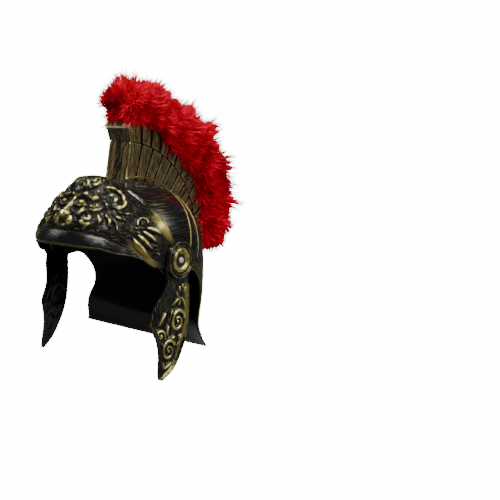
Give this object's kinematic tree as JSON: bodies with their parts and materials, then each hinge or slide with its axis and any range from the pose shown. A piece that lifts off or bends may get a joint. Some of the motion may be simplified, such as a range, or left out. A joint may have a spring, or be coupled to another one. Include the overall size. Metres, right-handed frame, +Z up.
{
  "type": "roman legionary helmet",
  "caption": "Moulded legionary helmet with neck guard, lion-mask brow visor, swinging cheek guards under rosettes, blocked crest and red feather plume.",
  "frame": {"origin": "inside of the crown, where the helmet sits on a head", "axes": "+Z up, -Y the front of the helmet, +X the wearer's left"},
  "size_m": [0.217, 0.3207, 0.3446],
  "materials": {
    "skull_plastic": "glossy black moulding brushed with antique pale gold",
    "crest_plastic": "black moulding dry-brushed brown gold, bright on the raised edges",
    "relief_plastic": "black moulding with antique gold rubbed on the high parts of the relief",
    "plume_feather": "dyed red down feathers",
    "rivet_steel": "plain small rivet"
  },
  "bodies": {
    "shell": {"skull": "skull_plastic", "crest_box": "crest_plastic", "plume": "plume_feather", "rosette_left": "relief_plastic", "rosette_right": "relief_plastic", "rivet_left": "rivet_steel", "rivet_right": "rivet_steel"},
    "visor": {"visor": "relief_plastic"},
    "cheek_guard_left": {"cheek_guard_left": "relief_plastic"},
    "cheek_guard_right": {"cheek_guard_right": "relief_plastic"}
  },
  "joints": [
    {"name": "visor_tilt", "type": "hinge", "parent": "shell", "child": "visor", "pos_m": [0, -0.015, -0.0848], "axis": [1, 0, 0], "range_deg": [-10, 20]},
    {"name": "cheek_left_swing", "type": "hinge", "parent": "shell", "child": "cheek_guard_left", "pos_m": [0, -0.015, -0.0848], "axis": [1, 0, 0], "range_deg": [-32, 15]},
    {"name": "cheek_right_swing", "type": "hinge", "parent": "shell", "child": "cheek_guard_right", "pos_m": [0, -0.015, -0.0848], "axis": [1, 0, 0], "range_deg": [-32, 15]}
  ]
}
